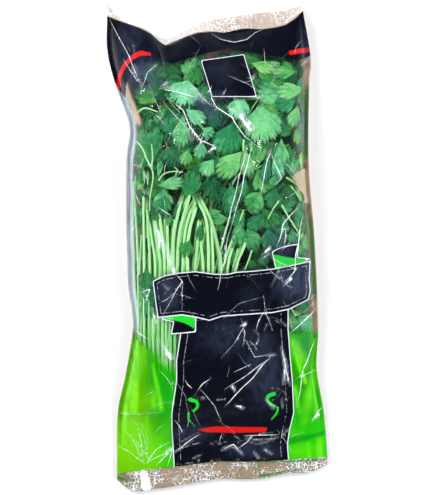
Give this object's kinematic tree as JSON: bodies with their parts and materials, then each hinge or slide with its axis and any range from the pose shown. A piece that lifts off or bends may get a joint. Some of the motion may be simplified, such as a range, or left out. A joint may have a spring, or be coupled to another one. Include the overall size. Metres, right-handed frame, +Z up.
{
  "type": "coriander bunch",
  "caption": "Bunch of cut coriander lying in a flat heat-sealed film bag with a clear front, its stems fanning out to lobed, toothed leaves.",
  "frame": {"origin": "centre of the bag's box in plan, on the surface that it lies on", "axes": "+Y from the cut stems to the leaf tips, +X to the right as seen from the clear front, +Z up out of the clear front"},
  "size_m": [0.1659, 0.3679, 0.0435],
  "materials": {
    "front_film": "clear glossy film, printed black and green",
    "back_film": "opaque kraft-brown film, satin",
    "leaf": "fresh leaf, satin",
    "young_leaf": "pale young leaf and stem, satin"
  },
  "bodies": {
    "root": {"back_film": "back_film", "front_film": "front_film", "sprig_1a": "young_leaf", "sprig_1b": "leaf", "sprig_1c": "leaf", "sprig_1d": "young_leaf", "sprig_1e": "leaf", "sprig_2a": "leaf", "sprig_2b": "young_leaf", "sprig_2c": "leaf", "sprig_2d": "leaf", "sprig_2e": "young_leaf", "sprig_3a": "leaf", "sprig_3b": "leaf", "sprig_3c": "young_leaf", "sprig_3d": "leaf", "sprig_3e": "leaf", "sprig_4a": "young_leaf", "sprig_4b": "leaf", "sprig_4c": "leaf", "sprig_4d": "young_leaf", "sprig_4e": "leaf", "sprig_5a": "leaf", "sprig_5b": "young_leaf", "sprig_5c": "leaf", "sprig_5d": "leaf", "sprig_5e": "young_leaf", "sprig_6a": "leaf", "sprig_6b": "leaf", "sprig_6c": "young_leaf", "sprig_6d": "leaf", "sprig_6e": "leaf", "sprig_7a": "young_leaf", "sprig_7b": "leaf", "sprig_7c": "leaf", "sprig_7d": "young_leaf", "sprig_7e": "leaf", "sprig_8a": "leaf", "sprig_8b": "young_leaf", "sprig_8c": "leaf", "sprig_8d": "leaf", "sprig_8e": "young_leaf"}
  },
  "joints": []
}
